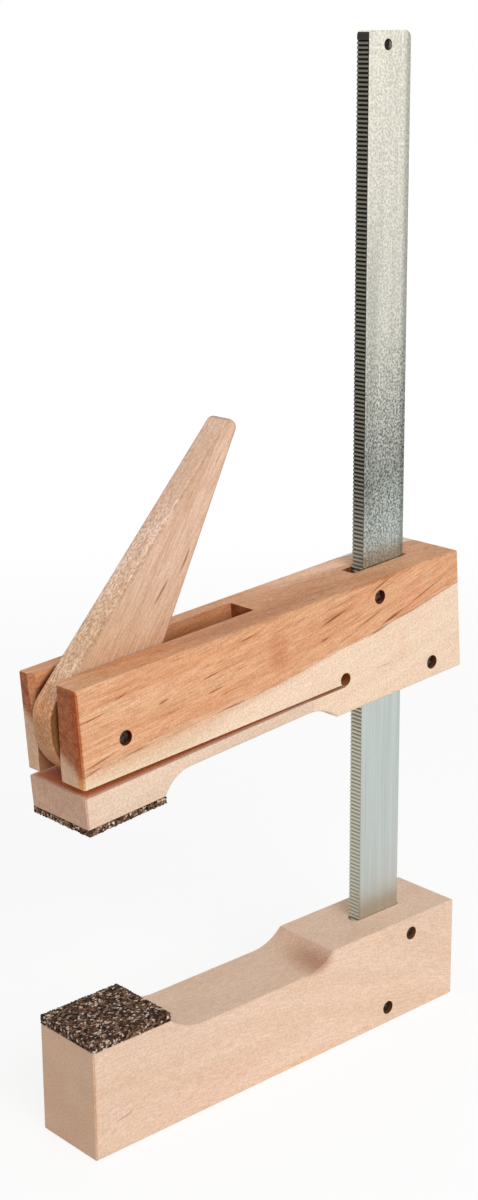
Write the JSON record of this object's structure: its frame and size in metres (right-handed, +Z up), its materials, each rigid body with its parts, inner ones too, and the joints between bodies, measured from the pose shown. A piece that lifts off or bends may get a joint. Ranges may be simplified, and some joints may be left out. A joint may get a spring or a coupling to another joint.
{
  "type": "cam clamp",
  "caption": "Wooden cam clamp: a fixed jaw on a notched flat steel bar, a sliding jaw with a springy kerfed tongue pressed down by a cam lever, and cork pads at the jaw tips.",
  "frame": {"origin": "on the foot of the fixed jaw, where the centreline of the bar meets it, in the middle of the jaw's thickness", "axes": "+Z up along the bar, -X from the bar towards the jaw tips, Y across the thickness of the jaws"},
  "size_m": [0.1736, 0.0286, 0.3484],
  "materials": {
    "fixed_jaw_wood": "pale pinkish hardwood, sanded and oiled",
    "sliding_jaw_wood": "orange-brown heartwood with a pale sapwood band, sanded and oiled",
    "lever_wood": "pale tan hardwood, sanded",
    "cork": "dark granulated cork",
    "plated_bar": "zinc-plated bar, mottled grey",
    "pin_steel": "plain steel pin"
  },
  "bodies": {
    "frame": {"fixed_jaw": "fixed_jaw_wood", "fixed_jaw_cork_pad": "cork", "guide_bar": "plated_bar", "fixed_jaw_upper_pin": "pin_steel", "fixed_jaw_lower_pin": "pin_steel"},
    "slider": {"sliding_jaw": "sliding_jaw_wood", "front_grip_pin": "pin_steel", "rear_grip_pin": "pin_steel", "cam_pivot_pin": "pin_steel"},
    "lever": {"cam_lever": "lever_wood"},
    "tongue": {"pressure_tongue": "sliding_jaw_wood", "moving_cork_pad": "cork"}
  },
  "joints": [
    {"name": "jaw_slide", "type": "slide", "parent": "frame", "child": "slider", "axis": [0, 0, 1], "range_m": [-0.0673, 0.169]},
    {"name": "lever_pivot", "type": "hinge", "parent": "slider", "child": "lever", "pos_m": [-0.12513, 0, 0.14101], "axis": [0, -1, 0], "range_deg": [-30, 50]},
    {"name": "tongue_flex", "type": "hinge", "parent": "slider", "child": "tongue", "pos_m": [-0.04708, 0, 0.13159], "axis": [0, -1, 0], "range_deg": [-1.02, 1.7]}
  ],
  "couplings": [
    {"joint": "tongue_flex", "follows": "lever_pivot", "ratio": 0.03382}
  ]
}
